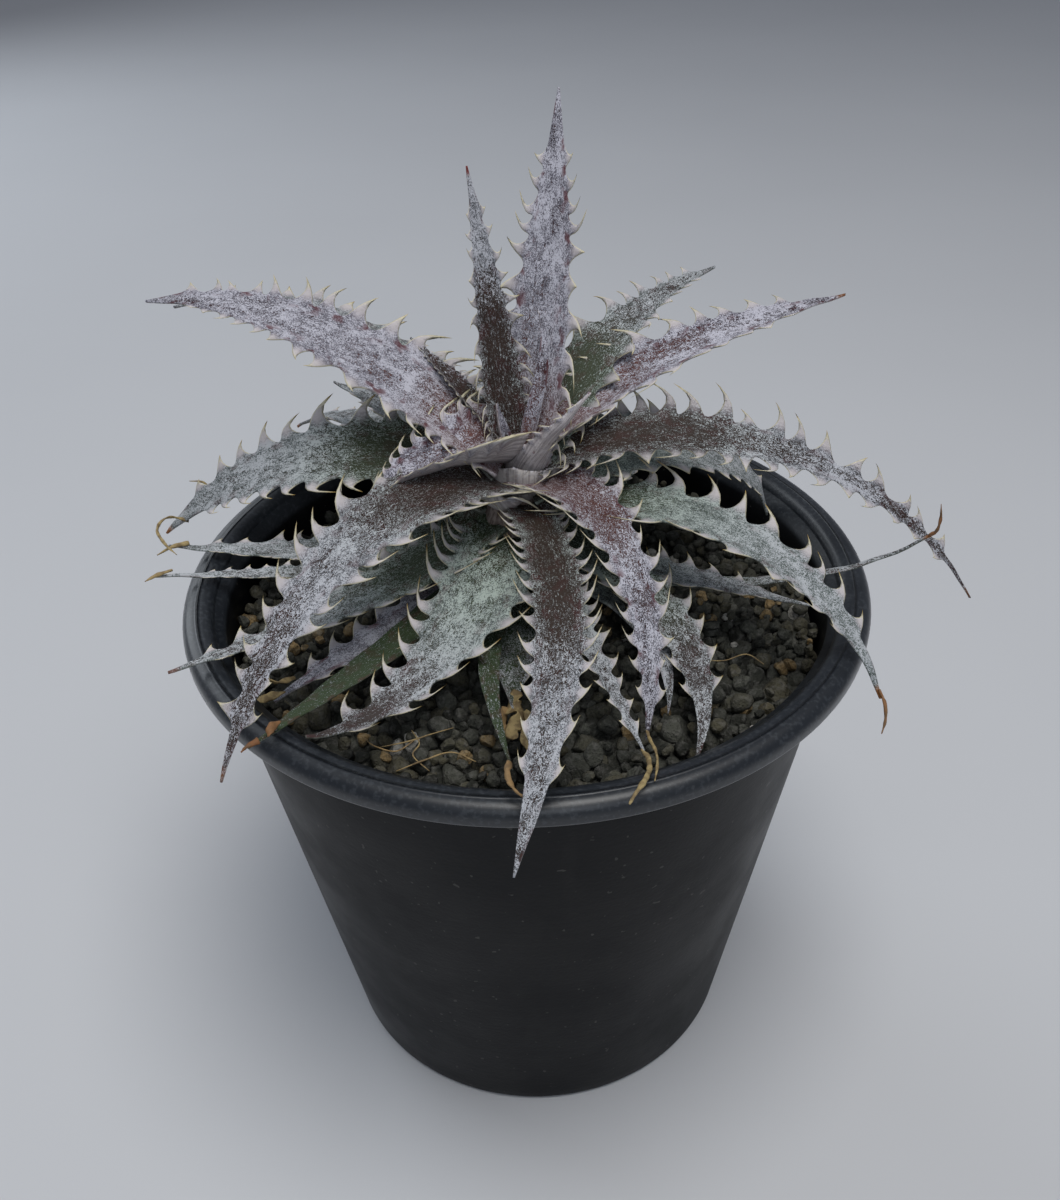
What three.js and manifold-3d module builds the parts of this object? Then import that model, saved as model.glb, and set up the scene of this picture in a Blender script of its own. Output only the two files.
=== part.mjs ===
// A young dyckia in its pot: a rosette of stiff, spiny-edged leaves on a short crown, growing from fine
// gravel in a round black nursery pot. Units are millimetres and +Z is up. The origin is the centre of
// the pot's underside, and azimuths are degrees anticlockwise from +X, seen from above.
import * as THREE from "three";
import { mergeVertices } from "three/addons/utils/BufferGeometryUtils.js";
import Module from "manifold-3d";

const wasm = await Module();
wasm.setup();

// Driving dimensions.
const GAP = 0.3; // clearance between pieces that touch
const POT = {
  rimRadius: 55,
  mouthRadius: 50,
  baseRadius: 37,
  height: 93,
  lipDrop: 3,
  lipRounding: 2,
  lipFillet: 1,
  wall: 1.6,
  floor: 2.4,
  footWidth: 5,
  footRounding: 1,
  hubRadius: 13,
  recess: 1.2,
  segments: 48,
};
const DRAIN = { count: 8, radius: 2.6, ring: 22, segments: 16 };
const SOIL = {
  level: 84.5,
  clearance: 0.9,
  bump: 0.54,
  mound: 1.2,
  moundRadius: 22,
  edge: 6, // the width of the level strip along the wall
  segments: 48,
  rings: 6,
};
const CROWN = {
  x: -1,
  y: 5,
  bottom: 66,
  foot: 74, // above the tapered root end
  shoulder: 104,
  dome: 111,
  top: 114,
  rootRadius: 4.5,
  radius: 7.5,
  domeRadius: 4.8,
  neck: 3.2,
  bud: 1.9,
  segments: 14,
};
const LEAF = {
  thickness: 2.2, // at the base, for a leaf 10 mm wide
  tipThickness: 0.5,
  tipWidth: 0.4,
  channel: 0.2, // how far the edges stand above the middle, as a share of the width
  rootShare: 0.6, // where the blade starts inside the crown, as a share of the crown's radius there
  handle: 0.36, // length of the curve's handles, as a share of the distance from root to tip
  bareTip: 0.87, // the teeth stop at this share of the length
  toothSpacing: 6,
  toothPlace: 0.8, // where a tooth stands in its spacing, with the notch before it at notchPlace
  notchPlace: 0.38,
  toothLength: 1.9, // near the base of a leaf at least toothFullWidth wide, and half of it at the tip
  toothFullWidth: 8,
  fullWidth: 10, // a narrower leaf is thinner in proportion
  crest: 0.4, // the middle of the top, as a share of the thickness above the midline
  belly: 0.45, // the underside's shoulders: across as a share of the half width, down of the thickness
  keel: 0.6,
};

// Every leaf: where it leaves the crown [azimuth, height], its pitch there, where its tip is
// [azimuth, reach from the crown's axis, height], its pitch at the tip, the width of its blade, and
// where the blade is rolled about its own length, how far [at its root, at its tip]. Angles are in degrees.
// The taper is how the blade narrows, "plain" where none is named.
const LEAVES = {
  // The heart of the rosette.
  heart_bud: { from: [150, 111], rise: 78, tip: [150, 3, 119], fall: 84, width: 2.8 },
  heart_needle_right: { from: [5, 111], rise: 82, tip: [60, 8.5, 131.5], fall: 70, width: 3 },
  heart_needle_left: { from: [145, 112], rise: 42, tip: [142, 20.5, 125.5], fall: 28, width: 4.2 },
  heart_right: {
    from: [300, 106], rise: 70, tip: [345, 11.9, 122.7], fall: 30, width: 6, roll: [-50, -50], taper: "flared",
  },
  heart_front_left: { from: [207, 111.5], rise: 16, tip: [207, 25, 110], fall: -26, width: 9.6 },
  slim_upright: { from: [118, 110.5], rise: 78, tip: [118, 12, 152.5], fall: 74, width: 6.4 },
  tall_back: { from: [62, 109], rise: 66, tip: [70.5, 24.5, 160], fall: 67, width: 10 },
  // The young ring, pale with scurf.
  left_long: {
    from: [162, 109.5], rise: 40, tip: [164.5, 60, 131.5], fall: -10, width: 12, roll: [-10, -30],
  },
  right_raised: { from: [25, 111], rise: 30, tip: [25, 62, 125], fall: 2, width: 9.5, roll: [4, 12] },
  right_arch: {
    from: [2, 108], rise: 32, tip: [355.5, 75, 84.5], fall: -60, width: 7.4, roll: [12, 50], taper: "whip",
  },
  front_right: { from: [331, 106.5], rise: 16, tip: [292, 46, 88.7], fall: -62, width: 8.2, taper: "flared" },
  front_long: { from: [288, 103.5], rise: 0, tip: [268.8, 69, 91], fall: -42, width: 7, taper: "full" },
  front_left_broad: {
    from: [257.5, 98], rise: 8, tip: [238.2, 54.9, 94.8], fall: 26, width: 13.6, taper: "slender",
  },
  left_arch: {
    from: [216, 106.5], rise: 26, tip: [231, 64.4, 90], fall: -52, width: 11.2, roll: [-8, -20], taper: "slender",
  },
  left_back_raised: {
    from: [146, 107.5], rise: 46, tip: [151, 67, 124], fall: -18, width: 10, roll: [-5, -15],
  },
  // The full-grown ring, greener.
  left_back: { from: [171, 105.5], rise: 26, tip: [170.5, 62, 91.8], fall: -46, width: 12, roll: [-10, -55] },
  back_right_raised: {
    from: [46, 107.5], rise: 52, tip: [45, 50, 127], fall: -4, width: 11, roll: [6, 14], taper: "slender",
  },
  right_low_arch: { from: [346, 101.5], rise: 20, tip: [325, 63, 89.2], fall: -58, width: 9.2 },
  front_right_low: { from: [341, 96.5], rise: -10, tip: [297, 52, 87.6], fall: -10, width: 8 },
  front_right_under: { from: [335, 91.5], rise: -8, tip: [300, 42, 87.8], fall: -14, width: 6 },
  front_right_narrow: {
    from: [290, 98], rise: -8, tip: [289, 51.5, 90.6], fall: -12, width: 5.4, taper: "slender",
  },
  left_low_grey: { from: [213, 99.5], rise: -16, tip: [212, 60, 94.6], fall: 2, width: 10, taper: "slender" },
  left_broken: { from: [225.5, 93], rise: -20, tip: [220, 48, 87.6], fall: -20, width: 12, taper: "slender" },
  left_green: { from: [230, 94], rise: -12, tip: [233, 60.5, 94.5], fall: 6, width: 7 },
  left_flat: { from: [182, 97.5], rise: -14, tip: [178, 58.5, 94.4], fall: 2, width: 8 },
  left_thin: { from: [191, 93.5], rise: -4, tip: [186.5, 59.5, 94.4], fall: 2, width: 4.8 },
  back_left_pale: { from: [138, 104], rise: 18, tip: [137, 44, 110], fall: -4, width: 9 },
  front_green: { from: [266, 93], rise: -20, tip: [268, 37, 90], fall: 0, width: 11 },
  front_narrow: { from: [255, 90.5], rise: 0, tip: [268.6, 54, 94.6], fall: -4, width: 4.4 },
  right_soil: { from: [344, 93], rise: -2, tip: [341, 48, 91], fall: -4, width: 7 },
  right_back_low: { from: [16, 104.5], rise: 36, tip: [20, 47.5, 88], fall: -78, width: 13, roll: [10, 40] },
  right_dry: { from: [346, 88.5], rise: 4, tip: [344.5, 64.5, 105], fall: 44, width: 3.4 },
  // The far side of the rosette.
  back_raised: { from: [88, 105.5], rise: 44, tip: [84, 52, 112], fall: -24, width: 10 },
  back_left_raised: { from: [116, 102], rise: 36, tip: [122, 54, 103], fall: -34, width: 10.5 },
  back_right_arch: { from: [62, 103], rise: 32, tip: [64, 58, 98], fall: -44, width: 10.5 },
  back_arch: { from: [98, 101], rise: 24, tip: [102, 60, 93], fall: -46, width: 11 },
  back_right_mid: { from: [80, 99.5], rise: 18, tip: [80, 59, 95], fall: -40, width: 10 },
  back_left_mid: { from: [134, 98.5], rise: 16, tip: [135, 60, 95], fall: -38, width: 10 },
  back_left_arch: { from: [150, 100], rise: 14, tip: [148, 58, 93.8], fall: -36, width: 10 },
  back_right_low: { from: [40, 98], rise: 12, tip: [42, 56, 94.8], fall: -24, width: 9 },
  back_low: { from: [80, 96], rise: 2, tip: [78, 54, 94.6], fall: -12, width: 8 },
  back_left_low: { from: [124, 95], rise: 0, tip: [124, 52, 94.4], fall: -10, width: 8 },
  back_soil: { from: [106, 90.5], rise: -4, tip: [108, 40, 89], fall: -2, width: 7 },
  back_right_soil: { from: [58, 90.5], rise: -4, tip: [56, 44, 88.5], fall: -2, width: 7 },
};

const radians = THREE.MathUtils.degToRad;
const lerp = THREE.MathUtils.lerp;
const up = new THREE.Vector3(0, 0, 1);

// Closed geometry to solid and back.
function solidOf(geometry) {
  const bare = geometry.clone();
  bare.deleteAttribute("normal");
  bare.deleteAttribute("uv");
  const merged = mergeVertices(bare, 1e-4);
  const vertProperties = new Float32Array(merged.getAttribute("position").array);
  const triVerts = new Uint32Array(merged.getIndex().array);
  return new wasm.Manifold(new wasm.Mesh({ numProp: 3, vertProperties, triVerts }));
}

function geometryOf(solid) {
  const mesh = solid.getMesh();
  const geometry = new THREE.BufferGeometry();
  geometry.setAttribute("position", new THREE.BufferAttribute(new Float32Array(mesh.vertProperties), 3));
  geometry.setIndex(new THREE.BufferAttribute(new Uint32Array(mesh.triVerts), 1));
  return geometry;
}

function largestPiece(solid) {
  return solid.decompose().reduce((best, piece) => (piece.volume() > best.volume() ? piece : best));
}

// A lathe about +Z from [radius, height] points that start and end on the axis, going up the outside.
function latheZ(points, segments) {
  const profile = points.map(([radius, height]) => new THREE.Vector2(radius, height));
  return new THREE.LatheGeometry(profile, segments).rotateX(Math.PI / 2);
}

// Points of an arc in a [radius, height] profile, from one angle to another.
function arc(centre, radius, fromDegrees, toDegrees, steps) {
  return Array.from({ length: steps + 1 }, (_, i) => {
    const angle = radians(lerp(fromDegrees, toDegrees, i / steps));
    return [centre[0] + radius * Math.cos(angle), centre[1] + radius * Math.sin(angle)];
  });
}

// The inside radius of the pot at a height.
function potInside(height) {
  const bottom = POT.baseRadius - POT.wall;
  const top = POT.mouthRadius - POT.wall / 2;
  return lerp(bottom, top, (height - POT.floor) / (POT.height - POT.floor));
}

// The pot: a tapered wall, a rounded rim with a thin drooping lip, and a floor that stands on a foot
// ring and a hub, with the drainage holes in the recess between them.
function potGeometry() {
  const { rimRadius, mouthRadius, baseRadius, height, wall, floor, footWidth, hubRadius, recess } = POT;
  const { lipRounding, lipFillet, footRounding } = POT;
  const underLip = height - POT.lipDrop;
  const neck = potInside(underLip) + wall;
  const profile = [
    [0, 0],
    [hubRadius, 0],
    [hubRadius + recess, recess],
    [baseRadius - footWidth - recess, recess],
    [baseRadius - footWidth, 0],
    ...arc([baseRadius - footRounding, footRounding], footRounding, -90, 0, 3),
    [neck, underLip - lipFillet],
    [neck + lipFillet, underLip],
    [rimRadius, underLip],
    ...arc([rimRadius - lipRounding, height - lipRounding], lipRounding, 0, 90, 4),
    ...arc([mouthRadius + lipRounding, height - lipRounding], lipRounding, 90, 180, 3),
    [potInside(floor), floor],
    [0, floor],
  ];
  const drains = Array.from({ length: DRAIN.count }, (_, i) => {
    const angle = (2 * Math.PI * i) / DRAIN.count;
    const hole = new THREE.CylinderGeometry(DRAIN.radius, DRAIN.radius, 4 * floor, DRAIN.segments);
    hole.rotateX(Math.PI / 2).translate(DRAIN.ring * Math.cos(angle), DRAIN.ring * Math.sin(angle), 0);
    return solidOf(hole);
  });
  return geometryOf(drains.reduce((body, hole) => body.subtract(hole), solidOf(latheZ(profile, POT.segments))));
}

// The gravel as one body that fills the pot, with a softly bumpy top that mounds a little at the crown.
function soilGeometry() {
  const { level, clearance, bump, mound, moundRadius, edge, rings } = SOIL;
  const bottom = POT.floor + GAP;
  const rim = potInside(level) - clearance;
  const top = Array.from({ length: rings + 1 }, (_, i) => [rim * (1 - i / rings), level]);
  const geometry = latheZ([[0, bottom], [potInside(bottom) - clearance, bottom], ...top], SOIL.segments);
  const position = geometry.getAttribute("position");
  for (let i = 0; i < position.count; i++) {
    if (position.getZ(i) < level) continue;
    const [x, y] = [position.getX(i), position.getY(i)];
    const radius = Math.hypot(x, y);
    const ripple = Math.sin(x * 0.41 + 1.3) * Math.cos(y * 0.37) + 0.5 * Math.sin((x + y) * 0.23);
    const rise = bump * ripple + mound * Math.exp(-((radius / moundRadius) ** 2));
    position.setZ(i, level + rise * Math.min(1, (rim - radius) / edge));
  }
  return geometry;
}

// The crown: the short stem that the leaves grow from, rooted in the gravel and domed at its growing point.
function crownSolid(spare) {
  const { x, y, bottom, foot, shoulder, dome, top, rootRadius, radius, domeRadius, bud, segments } = CROWN;
  const profile = [
    [0, bottom - spare],
    [rootRadius + spare, bottom - spare],
    [radius + spare, foot],
    [radius + spare, shoulder],
    [domeRadius + spare, dome],
    [bud + spare, top + spare / 2],
    [0, top + spare],
  ];
  return solidOf(latheZ(profile, segments).translate(x, y, 0));
}

// A point of the crown's frame from an azimuth, a reach from its axis and a height.
function crownPoint(azimuth, reach, height) {
  const angle = radians(azimuth);
  return new THREE.Vector3(CROWN.x + reach * Math.cos(angle), CROWN.y + reach * Math.sin(angle), height);
}

function heading(azimuth, pitch) {
  const [a, p] = [radians(azimuth), radians(pitch)];
  return new THREE.Vector3(Math.cos(a) * Math.cos(p), Math.sin(a) * Math.cos(p), Math.sin(p));
}

// The midline of a leaf: it leaves the crown straight outwards and swings evenly towards its tip.
function midline({ from: [azimuth, height], rise, tip, fall }) {
  const crownRadius = height > CROWN.shoulder ? CROWN.neck : CROWN.radius;
  const root = crownPoint(azimuth, LEAF.rootShare * crownRadius, height);
  const end = crownPoint(...tip);
  const chord = THREE.MathUtils.radToDeg(Math.atan2(end.y - root.y, end.x - root.x));
  const swing = ((chord - azimuth + 540) % 360) - 180;
  const reach = LEAF.handle * root.distanceTo(end);
  const out = root.clone().addScaledVector(heading(azimuth, rise), reach);
  const back = end.clone().addScaledVector(heading(azimuth + 2 * swing, fall), -reach);
  return new THREE.CubicBezierCurve3(root, out, back, end);
}

// The blade's width as a share of its greatest, at these places along the leaf.
const PLACES = [0, 0.25, 0.42, 0.6, 0.8, 0.9, 1];
const TAPERS = {
  plain: [0.86, 1, 0.835, 0.66, 0.34, 0.18, 0.03],
  slender: [0.86, 1, 0.75, 0.44, 0.22, 0.13, 0.03],
  full: [0.86, 1, 0.95, 0.86, 0.52, 0.3, 0.03],
  whip: [0.86, 1, 0.74, 0.38, 0.16, 0.1, 0.03],
  flared: [1.15, 0.98, 0.64, 0.5, 0.34, 0.18, 0.03],
};

function widthShare(t, taper) {
  const shares = TAPERS[taper];
  const k = Math.max(1, PLACES.findIndex((place) => t <= place));
  return lerp(shares[k - 1], shares[k], (t - PLACES[k - 1]) / (PLACES[k] - PLACES[k - 1]));
}

// Places along the leaf where the outline turns: a notch before each tooth, and the tooth itself.
function outlineStops(length) {
  const teeth = Math.max(2, Math.round((LEAF.bareTip * length) / LEAF.toothSpacing));
  const pitch = LEAF.bareTip / teeth;
  const stops = Array.from({ length: teeth }, (_, i) => [
    { t: (i + LEAF.notchPlace) * pitch, tooth: 0 },
    { t: (i + LEAF.toothPlace) * pitch, tooth: 1 },
  ]);
  return [{ t: 0, tooth: 0 }, ...stops.flat(), { t: (1 + 2 * LEAF.bareTip) / 3, tooth: 0 }, { t: 1, tooth: 0 }];
}

// A leaf as a loft of six-sided sections: two sharp edges, a channelled top and a keeled underside.
function leafSolid(leaf, spare) {
  const { width, roll: [rollAtRoot, rollAtTip] = [0, 0], taper = "plain" } = leaf;
  const curve = midline(leaf);
  const stops = outlineStops(curve.getLength());
  const positions = [];
  for (const { t, tooth } of stops) {
    const centre = curve.getPointAt(t);
    const along = curve.getTangentAt(t);
    const side = new THREE.Vector3().crossVectors(along, up).normalize();
    const over = new THREE.Vector3().crossVectors(side, along);
    const roll = radians(lerp(rollAtRoot, rollAtTip, t));
    side.applyAxisAngle(along, roll);
    over.applyAxisAngle(along, roll);
    if (t === 0 || t === 1) centre.addScaledVector(along, t === 0 ? -spare : spare);
    const bite = Math.min(1, width / LEAF.toothFullWidth) * LEAF.toothLength * (1 - 0.5 * t);
    const blade = Math.max(LEAF.tipWidth, width * widthShare(t, taper));
    const half = blade / 2 + tooth * bite + 1.5 * spare;
    const atRoot = LEAF.thickness * Math.min(1, width / LEAF.fullWidth);
    const thick = lerp(atRoot, LEAF.tipThickness, t) + 2 * spare;
    const section = [
      [half, LEAF.channel * half],
      [0, LEAF.crest * thick],
      [-half, LEAF.channel * half],
      [-LEAF.belly * half, -LEAF.belly * thick],
      [0, -LEAF.keel * thick],
      [LEAF.belly * half, -LEAF.belly * thick],
    ];
    for (const [across, above] of section) {
      const point = centre.clone().addScaledVector(side, across).addScaledVector(over, above);
      positions.push(point.x, point.y, point.z);
    }
  }
  const ring = 6;
  const last = (stops.length - 1) * ring;
  const faces = [];
  for (let i = 0; i < stops.length - 1; i++) {
    for (let j = 0; j < ring; j++) {
      const [a, b] = [i * ring + j, i * ring + ((j + 1) % ring)];
      faces.push(a, b + ring, b, a, a + ring, b + ring);
    }
  }
  for (let j = 1; j < ring - 1; j++) faces.push(0, j, j + 1, last, last + j + 1, last + j);
  const geometry = new THREE.BufferGeometry();
  geometry.setAttribute("position", new THREE.Float32BufferAttribute(positions, 3));
  geometry.setIndex(faces);
  return solidOf(geometry);
}

function boxesMeet(a, b) {
  const [p, q] = [a.boundingBox(), b.boundingBox()];
  return [0, 1, 2].every((i) => p.min[i] < q.max[i] && q.min[i] < p.max[i]);
}

const MATERIALS = {
  pot: { color: 0x15161a, roughness: 0.45, metalness: 0 },
  gravel: { color: 0x34332f, roughness: 0.95, metalness: 0 },
  crown: { color: 0x5c4a3c, roughness: 0.9, metalness: 0 },
  leaf: { color: 0x8d868c, roughness: 0.75, metalness: 0 },
};

function mesh(name, geometry, finish) {
  geometry.computeVertexNormals();
  const piece = new THREE.Mesh(geometry, new THREE.MeshStandardMaterial(MATERIALS[finish]));
  piece.name = name;
  return piece;
}

// A piece less every grown solid that it would touch, so that crowded pieces lie snug.
function trimmed(solid, grown) {
  const neighbours = grown.filter((other) => boxesMeet(solid, other));
  return largestPiece(neighbours.reduce((left, other) => left.subtract(other), solid));
}

const plant = new THREE.Group();
plant.add(mesh("pot", potGeometry(), "pot"));
plant.add(mesh("crown", geometryOf(crownSolid(0)), "crown"));
const grown = [crownSolid(GAP)];
for (const [name, leaf] of Object.entries(LEAVES)) {
  plant.add(mesh(`leaf_${name}`, geometryOf(trimmed(leafSolid(leaf, 0), grown)), "leaf"));
  grown.push(leafSolid(leaf, GAP));
}
plant.add(mesh("gravel", geometryOf(trimmed(solidOf(soilGeometry()), grown)), "gravel"));

export default plant;
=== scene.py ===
import math

import bmesh
import bpy
import numpy as np
from mathutils import Matrix


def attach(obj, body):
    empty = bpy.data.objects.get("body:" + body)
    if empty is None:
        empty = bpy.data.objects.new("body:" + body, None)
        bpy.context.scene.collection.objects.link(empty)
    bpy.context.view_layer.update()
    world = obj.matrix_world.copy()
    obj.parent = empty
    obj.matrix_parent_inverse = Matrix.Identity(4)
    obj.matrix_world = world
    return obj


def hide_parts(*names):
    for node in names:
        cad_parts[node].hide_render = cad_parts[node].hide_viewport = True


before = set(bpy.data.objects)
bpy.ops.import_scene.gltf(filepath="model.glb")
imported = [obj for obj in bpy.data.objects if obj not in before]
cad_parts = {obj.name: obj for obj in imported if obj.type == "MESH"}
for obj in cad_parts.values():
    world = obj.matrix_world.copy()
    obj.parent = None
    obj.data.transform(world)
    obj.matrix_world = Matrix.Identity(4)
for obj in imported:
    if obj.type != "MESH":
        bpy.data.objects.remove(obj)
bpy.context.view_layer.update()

# Lengths are in millimetres until a mesh is made, as in the CAD model. Angles are in degrees.
MM = 0.001
CROWN_AXIS = (-1.0, 5.0)
NECK_HEIGHT = 104  # the stem is thin above it
POT = {"rim": 55, "mouth": 50, "base": 37, "height": 93, "lip_drop": 3, "rounding": 2, "wall": 1.6,
       "floor": 2.4}
GRAVEL_HEIGHT = 84.5

# The photograph's camera: from the middle of the pot's rim back by its distance, then across and up.
CAMERA = {"distance": 195.6, "elevation": 35.81, "roll": -1.73, "across": 0.75, "up": -5.6, "lens": 36,
          "sensor": 36}


def lerp(a, b, t):
    return a + (b - a) * t


def smooth(t):
    t = np.clip(t, 0.0, 1.0)
    return t * t * (3 - 2 * t)


def unit(v):
    return v / np.linalg.norm(v, axis=-1, keepdims=True)


def rotation(right, up, back):
    return Matrix([list(right), list(up), list(back)]).transposed().to_4x4()


# ---------------------------------------------------------------- camera, floor and light
def add_camera():
    elevation, roll = math.radians(CAMERA["elevation"]), math.radians(CAMERA["roll"])
    back = np.array([0, -math.cos(elevation), math.sin(elevation)])
    level = np.array([1.0, 0, 0])
    above = np.cross(back, level)
    right = math.cos(roll) * level + math.sin(roll) * above
    up = -math.sin(roll) * level + math.cos(roll) * above
    rim_middle = np.array([0, 0, float(POT["height"])])
    place = rim_middle + back * CAMERA["distance"] + right * CAMERA["across"] + up * CAMERA["up"]
    data = bpy.data.cameras.new("camera")
    data.sensor_fit = "AUTO"
    data.sensor_width = CAMERA["sensor"]
    data.lens = CAMERA["lens"]
    data.clip_start = 0.01
    data.clip_end = 60
    camera = bpy.data.objects.new("camera", data)
    bpy.context.scene.collection.objects.link(camera)
    camera.matrix_world = Matrix.Translation([float(c) * MM for c in place]) @ rotation(right, up, back)
    bpy.context.scene.camera = camera


def add_light(name, place, aim, size, power, colour):
    """A round lamp, in metres and watts, that shines from one place at another."""
    data = bpy.data.lights.new(name, "AREA")
    data.shape = "DISK"
    data.size = size
    data.energy = power
    data.color = colour
    light = bpy.data.objects.new(name, data)
    bpy.context.scene.collection.objects.link(light)
    back = unit(np.array(place, float) - np.array(aim, float))
    right = unit(np.cross([0.0, 1.0, 0.001], back))
    light.matrix_world = Matrix.Translation(place) @ rotation(right, np.cross(back, right), back)


def set_world():
    world = bpy.data.worlds.new("studio")
    bpy.context.scene.world = world
    world.use_nodes = True
    background = world.node_tree.nodes["Background"]
    background.inputs["Color"].default_value = (0.80, 0.86, 1.0, 1)
    background.inputs["Strength"].default_value = 0.20


def add_floor():
    bpy.ops.mesh.primitive_plane_add(size=36, location=(0, 0, -0.0002))
    floor = bpy.context.object
    floor.name = "floor"
    floor.data.materials.append(floor_material())


# ---------------------------------------------------------------- material graphs
class Graph:
    """A material and short ways to add nodes to it. Values are numbers, colours or other nodes' sockets."""

    SOCKETS = {"colour": "Base Color", "roughness": "Roughness", "specular": "Specular IOR Level",
               "coat": "Coat Weight", "coat_roughness": "Coat Roughness"}

    def __init__(self, name):
        self.material = bpy.data.materials.new(name)
        self.material.use_nodes = True
        self.tree = self.material.node_tree
        self.shader = self.tree.nodes["Principled BSDF"]

    def plug(self, socket, value):
        if isinstance(value, bpy.types.NodeSocket):
            self.tree.links.new(value, socket)
        else:
            socket.default_value = value

    def node(self, kind, sockets, **settings):
        made = self.tree.nodes.new("ShaderNode" + kind)
        for key, value in settings.items():
            setattr(made, key, value)
        for key, value in sockets.items():
            self.plug(made.inputs[key], value)
        return made

    def math(self, operation, a, b=0.0):
        return self.node("Math", {0: a, 1: b}, operation=operation).outputs[0]

    def plus(self, a, b):
        return self.math("ADD", a, b)

    def minus(self, a, b):
        return self.math("SUBTRACT", a, b)

    def times(self, a, b):
        return self.math("MULTIPLY", a, b)

    def about_zero(self, noise, size):
        """A noise between 0 and 1, moved to lie about 0 and scaled."""
        return self.times(self.minus(noise, 0.5), size)

    def stretch(self, vector, scale):
        return self.node("VectorMath", {0: vector, 1: scale}, operation="MULTIPLY").outputs[0]

    def length(self, vector):
        return self.node("VectorMath", {0: vector}, operation="LENGTH").outputs["Value"]

    def noise(self, vector, scale, detail=2.0, roughness=0.5, distortion=0.0):
        sockets = {"Vector": vector, "Scale": scale, "Detail": detail, "Roughness": roughness,
                   "Distortion": distortion}
        return self.node("TexNoise", sockets).outputs["Fac"]

    def streaks(self, vector, scale, detail=2.0, roughness=0.5, distortion=0.0):
        """Noise with a scale of its own along each axis."""
        return self.noise(self.stretch(vector, scale), 1.0, detail, roughness, distortion)

    def step(self, value, low, high, to_low=0.0, to_high=1.0):
        """A smooth step from to_low, where the value is low, to to_high, where it is high."""
        sockets = {"Value": value, "From Min": low, "From Max": high, "To Min": to_low, "To Max": to_high}
        return self.node("MapRange", sockets, interpolation_type="SMOOTHSTEP").outputs["Result"]

    def mix(self, share, a, b):
        """From a, where the share is 0, to b, where it is 1. Each is a colour or a grey level."""
        a, b = [(c, c, c) if isinstance(c, float) else c for c in (a, b)]
        a, b = [(*c, 1) if isinstance(c, tuple) else c for c in (a, b)]
        return self.node("Mix", {0: share, 6: a, 7: b}, data_type="RGBA").outputs[2]

    def attribute(self, name, output="Fac"):
        return self.node("Attribute", {}, attribute_name=name).outputs[output]

    def place(self):
        return self.node("NewGeometry", {}).outputs["Position"]

    def bump(self, height, distance):
        bump = self.node("Bump", {"Height": height, "Distance": distance})
        self.plug(self.shader.inputs["Normal"], bump.outputs[0])

    def finish(self, **values):
        for key, value in values.items():
            self.plug(self.shader.inputs[self.SOCKETS[key]], value)
        return self.material


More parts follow.
